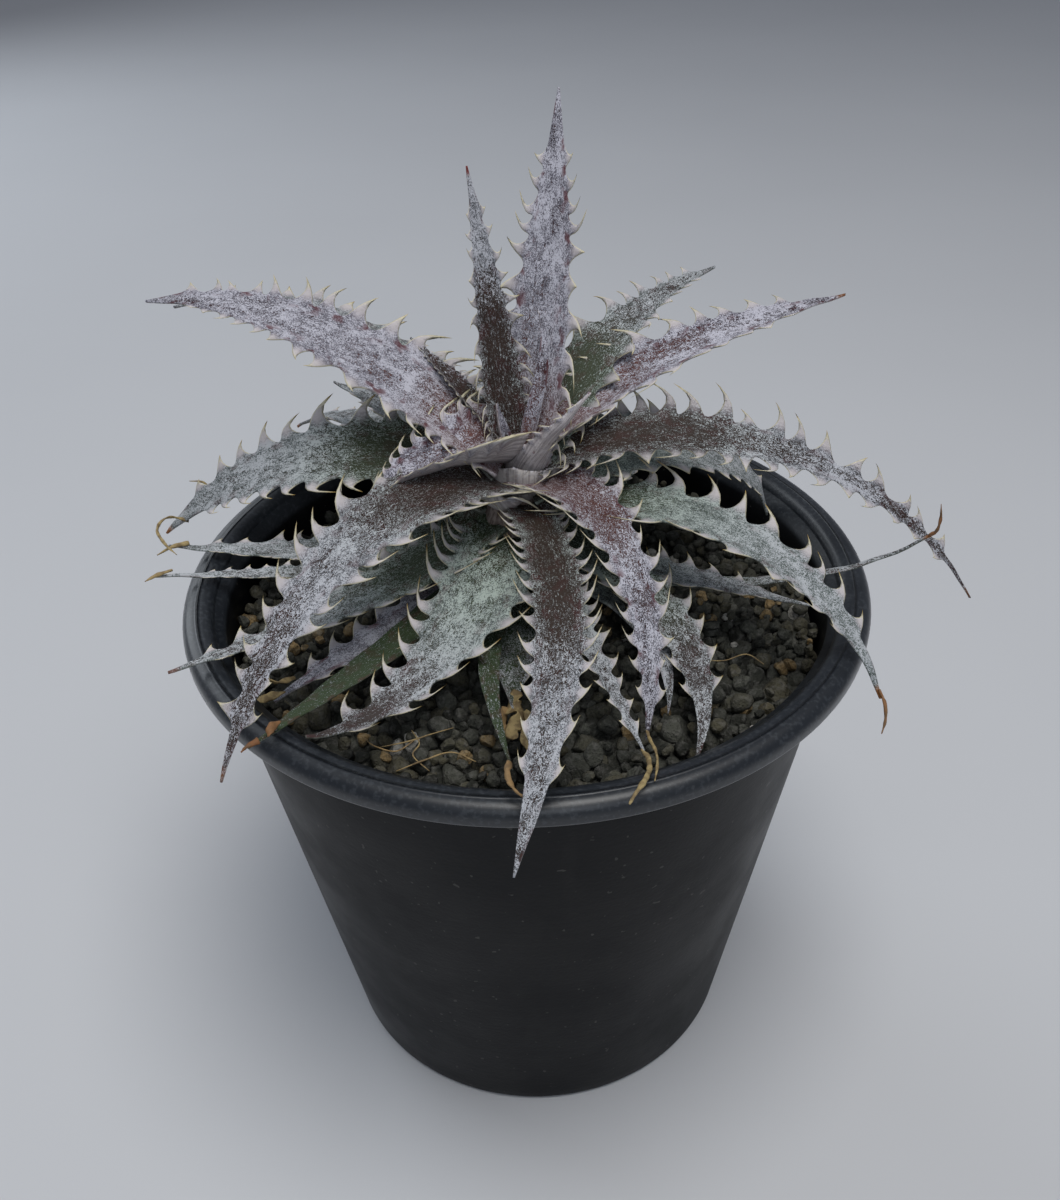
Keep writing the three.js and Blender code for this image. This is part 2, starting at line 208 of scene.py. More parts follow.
def leaf_material():
    """Dark skin under silvery scurf, which is thin on the leaf's base and thick on its margins and teeth."""
    g = Graph("scurfy_leaf")
    blade = g.attribute("blade", "Vector")
    along, across, tooth = g.attribute("along"), g.attribute("across"), g.attribute("tooth")
    under, age, coat = g.attribute("under"), g.attribute("age"), g.attribute("coat")

    # How thick the scurf lies: little on the bare base, much on the margins, and patchy.
    grown = g.step(g.minus(along, g.attribute("dusk")), -0.12, 0.15)
    bare = g.minus(1.0, grown)
    edge = g.step(across, 0.40, 0.95)
    patches = g.streaks(blade, (0.13, 0.26, 1.0))
    clouds = g.streaks(blade, (0.60, 0.90, 1.0))
    on_base = g.step(age, 0.1, 0.26, 0.22, -0.28)
    cover = g.plus(g.times(g.times(coat, 1.04), grown), g.times(on_base, bare))
    cover = g.plus(cover, g.times(edge, 0.32))
    cover = g.minus(cover, g.times(g.attribute("fade"), g.step(along, 0.48, 0.82)))
    uneven = g.plus(g.about_zero(patches, 1.40), g.about_zero(clouds, 1.05))
    cover = g.plus(cover, g.times(uneven, g.step(bare, 0.0, 1.0, 1.0, 0.45)))
    cover = g.plus(g.times(cover, g.step(coat, 0.0, 0.3, 0.1, 1.0)), g.times(tooth, 0.7))
    cover = g.minus(cover, g.step(coat, 0.0, 0.1, 0.4, 0.0))

    # The scurf's own pattern: short dashes, squiggles and grains. Where it rises above the bar, scurf shows.
    dashes = g.streaks(blade, (1.1, 4.8, 1.0), 2.0, 0.55, 0.3)
    squiggle = g.math("ABSOLUTE", g.minus(g.streaks(blade, (1.25, 1.8, 1.0), 1.0, 0.5, 2.6), 0.5))
    squiggle = g.step(squiggle, 0.0, 0.10, 1.0, 0.0)
    grains = g.streaks(blade, (3.6, 4.8, 1.0), 1.0)
    pattern = g.plus(g.times(squiggle, 0.26), g.plus(g.times(grains, 0.32), g.times(dashes, 0.50)))
    bar = g.minus(0.580, g.times(cover, 0.29))
    scurf = g.step(g.minus(pattern, bar), -0.036, 0.044)

    # The skin below it: red-brown when young, green when old, flushed with red in patches.
    young = g.mix(g.step(along, 0.25, 0.80), (0.140, 0.055, 0.046), (0.044, 0.028, 0.036))
    browned = g.times(g.step(along, 0.35, 0.70), g.step(age, 1.0, 0.9))
    old = g.mix(browned, (0.042, 0.062, 0.030), (0.056, 0.044, 0.042))
    skin = g.mix(g.step(age, 0.0, 0.45), young, (0.040, 0.027, 0.022))
    skin = g.mix(g.step(age, 0.45, 1.0), skin, old)
    flush = g.step(g.streaks(blade, (0.42, 0.7, 1.0)), 0.50, 0.62)
    flush = g.times(flush, g.step(age, 0.05, 0.5, 1.0, 0.35))
    skin = g.mix(g.times(flush, 0.65), skin, (0.074, 0.023, 0.023))

    # The scurf's colour: lilac when young, then grey, with fainter spots and a pink cast at a young base.
    greyer = g.mix(g.step(along, 0.25, 0.65), (0.385, 0.450, 0.405), (0.465, 0.487, 0.512))
    powder = g.mix(g.step(age, 0.05, 0.75), (0.520, 0.518, 0.585), greyer)
    faint = g.mix(age, (0.130, 0.122, 0.152), (0.108, 0.132, 0.124))
    tint = g.plus(g.times(grains, 0.40), g.plus(g.times(squiggle, 0.22), g.times(clouds, 0.45)))
    tint = g.plus(tint, g.about_zero(patches, 0.35))
    powder = g.mix(g.step(tint, 0.435, 0.562), faint, powder)
    pink = g.times(g.step(along, 0.34, 0.08), g.step(age, 0.0, 0.5, 0.6, 0.0))
    powder = g.mix(pink, powder, (0.400, 0.330, 0.335))
    colour = g.mix(scurf, skin, powder)

    # Red blots on the margins between the teeth.
    blot = g.times(g.times(flush, edge), g.step(tooth, 0.02, 0.2, 1.0, 0.0))
    colour = g.mix(g.times(blot, 0.90), colour, (0.100, 0.026, 0.032))

    # The underside: smooth and finely lined.
    stripes = g.streaks(blade, (0.12, 5.2, 1.0), 2.0, 0.6)
    pale = g.mix(age, (0.680, 0.620, 0.600), (0.190, 0.215, 0.170))
    dark = g.mix(age, (0.440, 0.385, 0.375), (0.055, 0.070, 0.040))
    below = g.mix(g.step(stripes, 0.40, 0.56), dark, pale)
    below = g.mix(g.times(scurf, 0.25), below, powder)
    colour = g.mix(g.times(under, g.step(tooth, 0.0, 0.35, 1.0, 0.0)), colour, below)

    # Teeth pale at the foot, ivory above, amber at the point. The blade's own tip is tan to red.
    horn = g.mix(g.step(tooth, 0.10, 0.62), (0.440, 0.395, 0.435), (0.590, 0.550, 0.550))
    colour = g.mix(g.step(tooth, 0.14, 0.52, 0.0, 0.92), colour, horn)
    keel = g.times(g.step(across, 0.962, 0.998), g.step(tooth, 0.03, 0.20))
    ivory = g.math("MAXIMUM", keel, g.step(tooth, 0.60, 0.86))
    colour = g.mix(ivory, colour, (0.660, 0.610, 0.430))
    amber = g.times(g.step(tooth, 0.80, 0.97), g.step(age, 0.1, 0.8, 0.35, 1.0))
    colour = g.mix(amber, colour, (0.400, 0.270, 0.080))
    redness = g.streaks(blade, (0.02, 0.02, 1.0), 0.0)
    tip = g.mix(g.step(redness, 0.4, 0.6), (0.300, 0.120, 0.035), (0.200, 0.045, 0.040))
    colour = g.mix(g.times(g.step(along, 0.962, 0.985), g.attribute("tipped")), colour, tip)

    lines = g.streaks(blade, (0.30, 4.2, 1.0), 2.0, 0.6, 0.2)
    height = g.plus(g.times(scurf, 0.5), g.times(lines, 0.6))
    height = g.plus(height, g.times(stripes, g.times(under, 0.3)))
    g.bump(height, 0.00018)
    return g.finish(colour=colour, roughness=g.mix(scurf, 0.58, 0.86), specular=0.22)


def pot_material():
    """Black moulded plastic: satin, with faint turning lines, scuffs, specks of dust and a bluish sheen
    painted on the rim.
    """
    # Heights and a radius, in metres.
    rim_from, rim_full = 0.0885, 0.0900
    seam_low, seam_high = (0.08966, 0.08978), (0.09022, 0.09008)
    outer_side = (0.0530, 0.0535)
    g = Graph("black_plastic")
    place = g.place()
    height = g.node("SeparateXYZ", {0: place}).outputs["Z"]
    rim = g.step(height, rim_from, rim_full)
    fine = g.noise(place, 1600.0)
    cloud = g.noise(place, 45.0, 4.0, 0.6)
    dust = g.step(g.noise(place, 820.0, 1.0), 0.725, 0.765)
    film = g.step(g.noise(g.stretch(place, (1.0, 1.0, 0.35)), 160.0, 3.0, 0.6), 0.52, 0.78)
    colour = g.mix(g.step(cloud, 0.35, 0.7), (0.0026, 0.0028, 0.0036), (0.0046, 0.0050, 0.0059))
    colour = g.mix(g.times(film, 0.10), colour, (0.042, 0.042, 0.038))
    colour = g.mix(g.times(dust, 0.2), colour, (0.22, 0.21, 0.19))
    # The rim is painted a lighter bluish grey: a painted sheen for the highlight it catches, flecked with
    # specks of dust.
    painted_sheen_and_dust = g.mix(g.step(fine, 0.50, 0.66), (0.0100, 0.0135, 0.0190), (0.032, 0.038, 0.046))
    colour = g.mix(g.times(rim, 0.8), colour, painted_sheen_and_dust)

    # The pale moulding seam round the outside of the lip.
    outside = g.step(g.length(g.stretch(place, (1.0, 1.0, 0.0))), *outer_side)
    seam = g.times(g.step(height, *seam_low), g.step(height, *seam_high))
    colour = g.mix(g.times(seam, g.times(outside, 0.5)), colour, (0.085, 0.088, 0.092))

    worn = g.step(cloud, 0.3, 0.75)
    rough = g.mix(rim, g.mix(worn, 0.34, 0.50), g.mix(worn, 0.25, 0.38))
    rings = g.streaks(place, (60.0, 60.0, 900.0))
    g.bump(g.plus(g.times(fine, 0.35), g.times(rings, 0.25)), 0.00006)
    return g.finish(colour=colour, roughness=rough, specular=0.12, coat=rim, coat_roughness=0.42)


def gravel_material():
    """Sub-angular volcanic grit: mostly dark grey-brown, some tan, a few white."""
    g = Graph("volcanic_grit")
    place, tone = g.place(), g.attribute("tone")
    mottle = g.noise(place, 900.0, 3.0, 0.65)
    pits = g.noise(place, 2400.0, 2.0, 0.6)
    dark = g.mix(g.step(tone, 0.0, 0.5), (0.020, 0.021, 0.017), (0.074, 0.076, 0.063))
    dark = g.mix(g.step(tone, 0.45, 0.86), dark, (0.078, 0.072, 0.048))
    tan = g.mix(g.step(mottle, 0.35, 0.65), (0.200, 0.135, 0.062), (0.330, 0.240, 0.120))
    colour = g.mix(g.step(tone, 0.915, 0.935), dark, tan)
    colour = g.mix(g.step(tone, 0.980, 0.986), colour, (0.520, 0.500, 0.450))
    colour = g.mix(g.times(g.step(mottle, 0.42, 0.70), 0.45), colour, (0.160, 0.155, 0.145))
    colour = g.mix(g.times(g.step(pits, 0.52, 0.68), 0.5), colour, (0.020, 0.019, 0.017))
    g.bump(g.plus(g.times(mottle, 0.9), g.times(pits, 0.5)), 0.00060)
    return g.finish(colour=colour, roughness=0.92, specular=0.25)


def stem_material():
    """The stem and its old leaf sheaths: matt brown, fibrous."""
    g = Graph("old_sheath")
    fibre = g.streaks(g.place(), (1500.0, 1500.0, 160.0), 3.0, 0.6)
    colour = g.mix(g.step(fibre, 0.35, 0.65), (0.120, 0.085, 0.070), (0.330, 0.275, 0.245))
    g.bump(fibre, 0.0003)
    return g.finish(colour=colour, roughness=0.88, specular=0.25)


def straw_material():
    """Dried leaf ends and rootlets: straw to orange-brown."""
    g = Graph("dried_straw")
    streak = g.noise(g.place(), 700.0, 3.0, 0.6)
    colour = g.mix(g.step(g.attribute("tone"), 0.0, 1.0), (0.400, 0.310, 0.145), (0.220, 0.095, 0.038))
    colour = g.mix(g.times(g.step(streak, 0.42, 0.62), 0.7), colour, (0.130, 0.085, 0.045))
    g.bump(streak, 0.0002)
    return g.finish(colour=colour, roughness=0.7, specular=0.35)


def floor_material():
    g = Graph("pale_floor")
    cloud = g.noise(g.place(), 5.0, 3.0)
    return g.finish(colour=g.mix(cloud, (0.60, 0.61, 0.63), (0.66, 0.67, 0.69)), roughness=0.75, specular=0.2)


# ---------------------------------------------------------------- meshes
def new_piece(name, points, faces, material, values=None, blade=None):
    """A smooth-shaded mesh from points in millimetres, riding on the part's one body.

    Values are the points' numbers for the material, by name; blade is each point's place on the flat leaf.
    """
    mesh = bpy.data.meshes.new(name)
    mesh.from_pydata((np.asarray(points) * MM).tolist(), [], faces)
    mesh.polygons.foreach_set("use_smooth", np.ones(len(mesh.polygons), bool))
    for key, data in (values or {}).items():
        numbers = mesh.attributes.new(key, "FLOAT", "POINT").data
        numbers.foreach_set("value", np.asarray(data, np.float32).ravel())
    if blade is not None:
        places = mesh.attributes.new("blade", "FLOAT_VECTOR", "POINT").data
        places.foreach_set("vector", np.asarray(blade, np.float32).ravel())
    mesh.materials.append(material)
    mesh.update()
    piece = bpy.data.objects.new(name, mesh)
    bpy.context.scene.collection.objects.link(piece)
    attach(piece, "root")
    return piece


def grid_faces(rows, columns):
    """Quads between neighbouring rows of a grid of points, wrapped round each row."""
    row, column = np.meshgrid(np.arange(rows - 1) * columns, np.arange(columns), indexing="ij")
    after = (column + 1) % columns
    quads = np.stack([row + column, row + after, row + columns + after, row + columns + column], -1)
    return quads.reshape(-1, 4).tolist()


def tube_faces(rows, columns):
    """The same, turned over and closed with a face on each end."""
    faces = [face[::-1] for face in grid_faces(rows, columns)]
    last = (rows - 1) * columns
    return faces + [list(range(columns)), list(range(last, last + columns))[::-1]]


# ---------------------------------------------------------------- leaves
# Each leaf's curve is the CAD leaf's: from (azimuth, height), rise, tip (azimuth, reach, height), fall,
# width, roll at the root and at the tip. Then its looks: age from 0, red-brown, to 1, green; coat, how
# thickly the scurf lies; dusk, how far along the bare dark base reaches; teeth, their length in mm;
# hook, how far they bend back towards the base; and 1 for a leaf with a finer mesh.
LEAVES = {
    "heart_bud": (150, 111, 78, 150, 3, 119, 84, 2.8, 0, 0, 0.0, 1.0, 0.0, 0, 0, 1),
    "heart_needle_right": (5, 111, 82, 60, 8.5, 131.5, 70, 3, 0, 0, 0.0, 0.55, 0.0, 0, 0, 1),
    "heart_needle_left": (145, 112, 42, 142, 20.5, 125.5, 28, 4.2, 0, 0, 0.42, 0.3, 0.8, 1.4, 0.6, 1),
    "heart_right": (300, 106, 70, 345, 11.9, 122.7, 30, 6, -50, -50, 0.0, 0.7, 0.1, 1.6, 0.8, 1),
    "heart_front_left": (207, 111.5, 16, 207, 25, 110, -26, 9.6, 0, 0, 0.0, 0.62, 0.22, 3.6, 0.9, 1),
    "slim_upright": (118, 110.5, 78, 118, 12, 152.5, 74, 6.4, 0, 0, 0.42, 0.86, 0.6, 2.2, 0.7, 1),
    "tall_back": (62, 109, 66, 70.5, 24.5, 160, 67, 10, 0, 0, 0.1, 0.84, 0.2, 3.7, 0.3, 1),
    "left_long": (162, 109.5, 40, 164.5, 60, 131.5, -10, 12, -10, -30, 0.1, 0.82, 0.22, 4.6, 0.45, 1),
    "right_raised": (25, 111, 30, 25, 62, 125, 2, 9.5, 4, 12, 0.05, 0.52, 0.26, 3.5, 0.8, 1),
    "right_arch": (2, 108, 32, 355.5, 75, 84.5, -60, 7.4, 12, 50, 0.44, 0.6, 0.38, 4.6, 0.5, 1),
    "front_right": (331, 106.5, 16, 292, 46, 88.7, -62, 8.2, 0, 0, 0.165, 0.62, 0.45, 3.4, 0.9, 1),
    "front_long": (288, 103.5, 0, 268.8, 69, 91, -42, 7.0, 0, 0, 0.5, 0.84, 0.54, 2.8, 0.9, 1),
    "front_left_broad": (257.5, 98, 8, 238.2, 54.9, 94.8, 26, 13.6, 0, 0, 0.85, 0.6, 0.12, 4.3, 0.7, 1),
    "left_arch": (216, 106.5, 26, 231, 64.4, 90, -52, 11.2, -8, -20, 0.42, 0.76, 0.36, 4.1, 0.8, 1),
    "left_back_raised": (146, 107.5, 46, 151, 67, 124, -18, 10, -5, -15, 0.6, 0.70, 0.15, 3.2, 0.5, 1),
    "left_back": (171, 105.5, 26, 170.5, 62, 91.8, -46, 12, -10, -55, 0.8, 0.78, 0.42, 4.3, 0.8, 1),
    "back_right_raised": (46, 107.5, 52, 45, 50, 127, -4, 11, 6, 14, 0.8, 0.55, 0.5, 3.8, 0.5, 1),
    "right_low_arch": (346, 101.5, 20, 325, 63, 89.2, -58, 9.2, 0, 0, 0.95, 0.97, 0.26, 4.8, 0.8, 1),
    "front_right_low": (341, 96.5, -10, 297, 52, 87.6, -10, 8, 0, 0, 0.8, 0.24, 0.1, 2.8, 0.7, 1),
    "front_right_under": (335, 91.5, -8, 300, 42, 87.8, -14, 6, 0, 0, 0.6, 0.60, 0.1, 0, 0.7, 1),
    "front_right_narrow": (290, 98, -8, 289, 51.5, 90.6, -12, 5.4, 0, 0, 0.6, 0.6, 0.05, 2.6, 0.7, 1),
    "left_low_grey": (213, 99.5, -16, 212, 60, 94.6, 2, 10, 0, 0, 0.9, 0.55, 0.35, 4.0, 0.6, 1),
    "left_broken": (225.5, 93, -20, 220, 48, 87.6, -20, 12, 0, 0, 0.2, 1.6, 0.0, 4.4, 0.6, 1),
    "left_green": (230, 94, -12, 233, 60.5, 94.5, 6, 7, 0, 0, 1.0, 0.0, 0.3, 0, 0.5, 1),
    "left_flat": (182, 97.5, -14, 178, 58.5, 94.4, 2, 8, 0, 0, 0.9, 0.7, 0.2, 3.0, 0.3, 1),
    "left_thin": (191, 93.5, -4, 186.5, 59.5, 94.4, 2, 4.8, 0, 0, 0.9, 0.6, 0.2, 1.4, 0.3, 1),
    "back_left_pale": (138, 104, 18, 137, 44, 110, -4, 9, 0, 0, 0.8, 0.62, 0.2, 3.0, 0.5, 1),
    "front_green": (266, 93, -20, 268, 37, 90, 0, 11, 0, 0, 1.0, 0.2, 0.3, 2.0, 0.6, 1),
    "front_narrow": (255, 90.5, 0, 268.6, 54, 94.6, -4, 4.4, 0, 0, 1.0, 0.03, 0.2, 0, 0.5, 1),
    "right_soil": (344, 93, -2, 341, 48, 91, -4, 7, 0, 0, 0.7, 0.85, 0.2, 2.6, 0.6, 1),
    "right_back_low": (16, 104.5, 36, 20, 47.5, 88, -78, 13, 10, 40, 0.9, 0.95, 0.2, 3.2, 0.4, 1),
    "right_dry": (346, 88.5, 4, 344.5, 64.5, 105, 44, 3.4, 0, 0, 0.9, 0.45, 0.2, 0, 0, 1),
    "back_raised": (88, 105.5, 44, 84, 52, 112, -24, 10, 0, 0, 0.6, 0.62, 0.18, 3.4, 0.6, 0),
    "back_left_raised": (116, 102, 36, 122, 54, 103, -34, 10.5, 0, 0, 0.7, 0.66, 0.18, 3.4, 0.6, 0),
    "back_right_arch": (62, 103, 32, 64, 58, 98, -44, 10.5, 0, 0, 0.7, 0.66, 0.18, 3.4, 0.6, 0),
    "back_arch": (98, 101, 24, 102, 60, 93, -46, 11, 0, 0, 0.5, 0.68, 0.18, 3.5, 0.6, 0),
    "back_right_mid": (80, 99.5, 18, 80, 59, 95, -40, 10, 0, 0, 0.8, 0.62, 0.18, 3.3, 0.6, 0),
    "back_left_mid": (134, 98.5, 16, 135, 60, 95, -38, 10, 0, 0, 0.8, 0.64, 0.18, 3.3, 0.6, 0),
    "back_left_arch": (150, 100, 14, 148, 58, 93.8, -36, 10, 0, 0, 0.8, 0.62, 0.18, 3.3, 0.6, 0),
    "back_right_low": (40, 98, 12, 42, 56, 94.8, -24, 9, 0, 0, 0.9, 0.58, 0.18, 3.0, 0.6, 0),
    "back_low": (80, 96, 2, 78, 54, 94.6, -12, 8, 0, 0, 0.95, 0.52, 0.18, 2.8, 0.6, 0),
    "back_left_low": (124, 95, 0, 124, 52, 94.4, -10, 8, 0, 0, 0.95, 0.55, 0.18, 2.8, 0.6, 0),
    "back_soil": (106, 90.5, -4, 108, 40, 89, -2, 7, 0, 0, 1.0, 0.45, 0.3, 2.4, 0.6, 0),
    "back_right_soil": (58, 90.5, -4, 56, 44, 88.5, -2, 7, 0, 0, 1.0, 0.45, 0.3, 2.4, 0.6, 0),
}
# Short sheaths round the top of the stem, in the same form.
SHEATHS = {
    "sheath_front": (270, 104.4, 30, 266, 6.2, 111.9, 74, 12.5, 0, 0, 0.28, 0.3, 0.4, 0, 0, 1),
    "sheath_right": (318, 104.6, 30, 322, 6.2, 110.2, 66, 7.5, 0, 0, 0.0, 0.3, 0.4, 1.6, 1.2, 1),
    "sheath_left": (232, 104.0, 22, 226, 8.5, 109.0, 40, 8.0, 0, 0, 0.0, 0.3, 0.4, 4.0, 1.2, 1),
    "sheath_back": (80, 104.6, 30, 84, 6.4, 110.8, 66, 8.5, 0, 0, 0.0, 0.3, 0.4, 1.4, 1.0, 0),
}

# The blade's width along the leaf, as shares of its greatest.
WIDTH_PLACES = (0, 0.25, 0.42, 0.6, 0.8, 0.9, 1)
TAPERS = {
    "plain": (0.86, 1, 0.835, 0.66, 0.34, 0.18, 0.03),
    "slender": (0.86, 1, 0.75, 0.44, 0.22, 0.13, 0.03),
    "full": (0.86, 1, 0.95, 0.86, 0.52, 0.30, 0.03),
    "whip": (0.86, 1, 0.74, 0.38, 0.16, 0.10, 0.03),
    "flared": (1.15, 0.98, 0.64, 0.50, 0.34, 0.18, 0.03),
}
SLENDER = ("left_arch", "front_right_narrow", "front_left_broad", "left_low_grey", "left_broken",
           "back_right_raised")
TAPER = {"front_right": "flared", "front_long": "full", "right_arch": "whip", "heart_right": "flared",
         **dict.fromkeys(SLENDER, "slender")}
# How far the blade is folded up along its middle.
FOLDED = {"heart_front_left": 0.85, "heart_right": 0.5, "heart_needle_left": 0.7, "heart_needle_right": 0.5,
          "slim_upright": 0.3, "right_raised": 0.42, "heart_bud": 0.5, "sheath_front": 0.6,
          "sheath_right": 0.5}
# How red or tan the blade's own tip is.
TIPPED = {"slim_upright": 1, "right_arch": 0.6, "right_low_arch": 1, "right_raised": 0.7, "left_arch": 0.5,
          "right_dry": 1, "left_back": 0.9, "left_low_grey": 0.6, "back_right_low": 0.8, "back_left_mid": 0.8,
          "back_raised": 0.5}
# How much closer together the teeth stand in the outer half.
CROWDED = {"front_right_low": -0.6, "front_right_narrow": 0.0, "tall_back": 0.46, "back_right_raised": 0.46,
           "left_long": 0.46, "right_arch": 0.0, "slim_upright": 0.34, "front_long": -0.4}
# How much smaller the teeth are there.
WANING = {"front_left_broad": 0.2, "left_arch": 0.4, "left_long": 0.7, "right_arch": 0.6, "front_long": 0.5}
# How much thinner the scurf is there.
FADED = {"front_left_broad": 0.95, "left_arch": 0.75, "front_long": 0.25, "left_long": 0.2,
         "right_arch": 0.45}
USUAL_FOLD, USUAL_CROWDING, USUAL_WANING = 0.2, 0.2, 0.58

LEAF_SEED = 700
BLADE_APART = 7.3  # from one leaf's place in the noise to the next one's
SHEATH_GRAIN = 0.3  # a sheath's lines are this much coarser
WIDE = 10  # the width of a leaf of full thickness, with full-sized teeth

# Teeth, in millimetres along the leaf.
FIRST_TOOTH = 3.2
LAST_TOOTH = 0.88  # as a share of the length
ROOT_END = 0.8  # the mesh's first row after the root
BEFORE_TEETH, AFTER_TEETH = 1.6, 2.2
# The rows of the mesh in half a tooth, from its middle to its edge.
TOOTH_ROWS_FINE = np.array([0, 0.045, 0.13, 0.26, 0.41, 0.59, 0.79])
TOOTH_ROWS = np.array([0, 0.07, 0.25, 0.5, 0.78])
# The columns of the mesh on half the blade, from its middle to its margin.
TOP_FINE = np.array([0, 0.25, 0.46, 0.62, 0.74, 0.84, 0.91, 0.96])
UNDER_FINE = np.array([0, 0.30, 0.55, 0.74, 0.84, 0.91, 0.96])
TOP = np.array([0, 0.34, 0.62, 0.80, 0.92])
UNDER = np.array([0, 0.45, 0.74, 0.92])
# How far a column is drawn out into a tooth.
REACH_PLACES = (0, 0.5, 0.62, 0.74, 0.84, 0.91, 0.96, 1)
REACH_SHARES = (0, 0, 0.05, 0.15, 0.33, 0.56, 0.78, 1)


def crown_point(azimuth, reach, height):
    a = math.radians(azimuth)
    return np.array([CROWN_AXIS[0] + reach * math.cos(a), CROWN_AXIS[1] + reach * math.sin(a), height])


def heading(azimuth, pitch):
    a, p = math.radians(azimuth), math.radians(pitch)
    return np.array([math.cos(a) * math.cos(p), math.sin(a) * math.cos(p), math.sin(p)])


class Midline:
    """The CAD leaf's curve, by distance along it: a Bezier curve from within the stem."""

    ROOT_SHARE, HANDLE_SHARE = 0.6, 0.36  # of the stem's radius, and of the chord
    NECK_RADIUS, STEM_RADIUS = 3.2, 7.5

    def __init__(self, azimuth, height, rise, tip_azimuth, tip_reach, tip_height, fall):
        stem = self.NECK_RADIUS if height > NECK_HEIGHT else self.STEM_RADIUS
        root = crown_point(azimuth, self.ROOT_SHARE * stem, height)
        end = crown_point(tip_azimuth, tip_reach, tip_height)
        chord = math.degrees(math.atan2(end[1] - root[1], end[0] - root[0]))
        swing = (chord - azimuth + 540) % 360 - 180
        reach = self.HANDLE_SHARE * np.linalg.norm(end - root)
        out = root + heading(azimuth, rise) * reach
        back = end - heading(azimuth + 2 * swing, fall) * reach
        t = np.linspace(0, 1, 600)[:, None]
        s = 1 - t
        self.points = s ** 3 * root + 3 * s ** 2 * t * out + 3 * s * t * t * back + t ** 3 * end
        self.ways = unit(3 * s ** 2 * (out - root) + 6 * s * t * (back - out) + 3 * t * t * (end - back))
        self.places = np.r_[0, np.cumsum(np.linalg.norm(np.diff(self.points, axis=0), axis=1))]
        self.length = self.places[-1]

    def at(self, place):
        def pick(table):
            return np.stack([np.interp(place, self.places, table[:, i]) for i in range(3)], -1)

        return pick(self.points), unit(pick(self.ways))


def width_share(u, taper):
    """The blade's width along the leaf: the CAD outline with its corners eased, but not at the tip."""
    fine = np.linspace(-0.1, 1.1, 481)
    table = np.interp(fine, WIDTH_PLACES, TAPERS[taper])
    kernel = np.hanning(41)
    eased = np.convolve(table, kernel / kernel.sum(), "same")
    keep = smooth((fine - 0.93) / 0.05)
    return np.interp(u, fine, lerp(eased, table, keep))


def toothless(places):
    return np.vstack([places, np.zeros((4, len(places)))])


def tooth_rows(length, size, teeth, crowding, waning, fine, rng):
    """Where the rows of the blade's mesh cross its two margins.

    Each margin has five lines of numbers: place, then the tooth's height, turn, lift and shape there.
    """
    if not teeth:
        bare = toothless(np.r_[0.0, ROOT_END + (length - ROOT_END) * np.linspace(0, 1, 40)])
        return bare, bare
    centres = []
    place = FIRST_TOOTH
    while place < LAST_TOOTH * length:
        centres.append(place)
        closer = 1 - crowding * smooth((place / length - 0.35) / 0.4)
        gap = lerp(2.0, 5.7 * size, smooth(place / 20)) * closer
        place += gap * rng.uniform(0.78, 1.22)
    centres = np.array(centres)
    half = TOOTH_ROWS_FINE if fine else TOOTH_ROWS
    x = np.r_[-1, -half[:0:-1], half]
    margins = []
    for _ in range(2):
        middles = centres + rng.uniform(-0.2, 0.2, len(centres)) * np.gradient(centres)
        ends = BEFORE_TEETH, min(middles[-1] + AFTER_TEETH, length)
        borders = np.r_[ends[0], (middles[1:] + middles[:-1]) / 2, ends[1]]
        parts = [toothless(np.array([0.0, ROOT_END]))]
        for middle, before, after in zip(middles, borders[:-1], borders[1:]):
            rows = middle + np.where(x < 0, x * (middle - before), x * (after - middle))
            outer = smooth((middle / length - 0.45) / 0.45)
            tall = 1.06 * teeth * lerp(0.74, 1.0, smooth(middle / 14)) * (1 - waning * outer)
            tall *= rng.uniform(0.84, 1.14)
            if rng.random() < 0.04:  # a stunted tooth
                tall *= 0.45
            turn, lift = rng.normal(0, 0.20), rng.uniform(0.36, 0.72)
            broad = lerp(0.34, 0.62, smooth(middle / 20)) * smooth(size * 1.4 - 0.1)
            shape = broad * (1 - np.abs(x)) ** 1.7 + (1 - broad) * (1 - np.abs(x)) ** 2.9
            parts.append(np.vstack([rows, *[np.full(len(x), n) for n in (tall, turn, lift)], shape]))
        parts.append(toothless(ends[1] + (length - ends[1]) * np.linspace(0, 1, 16)))
        margins.append(np.hstack(parts))
    return margins


def tooth_hook(name, hook, u):
    """How far the teeth bend back towards the base, along the leaf."""
    if name in ("tall_back", "slim_upright"):
        return lerp(1.0, -0.55, smooth((u - 0.25) / 0.45))
    if name == "left_long":
        return lerp(0.50, 0.05, smooth((u - 0.10) / 0.4))
    return hook * (1 - 0.3 * smooth((u - 0.2) / 0.4))


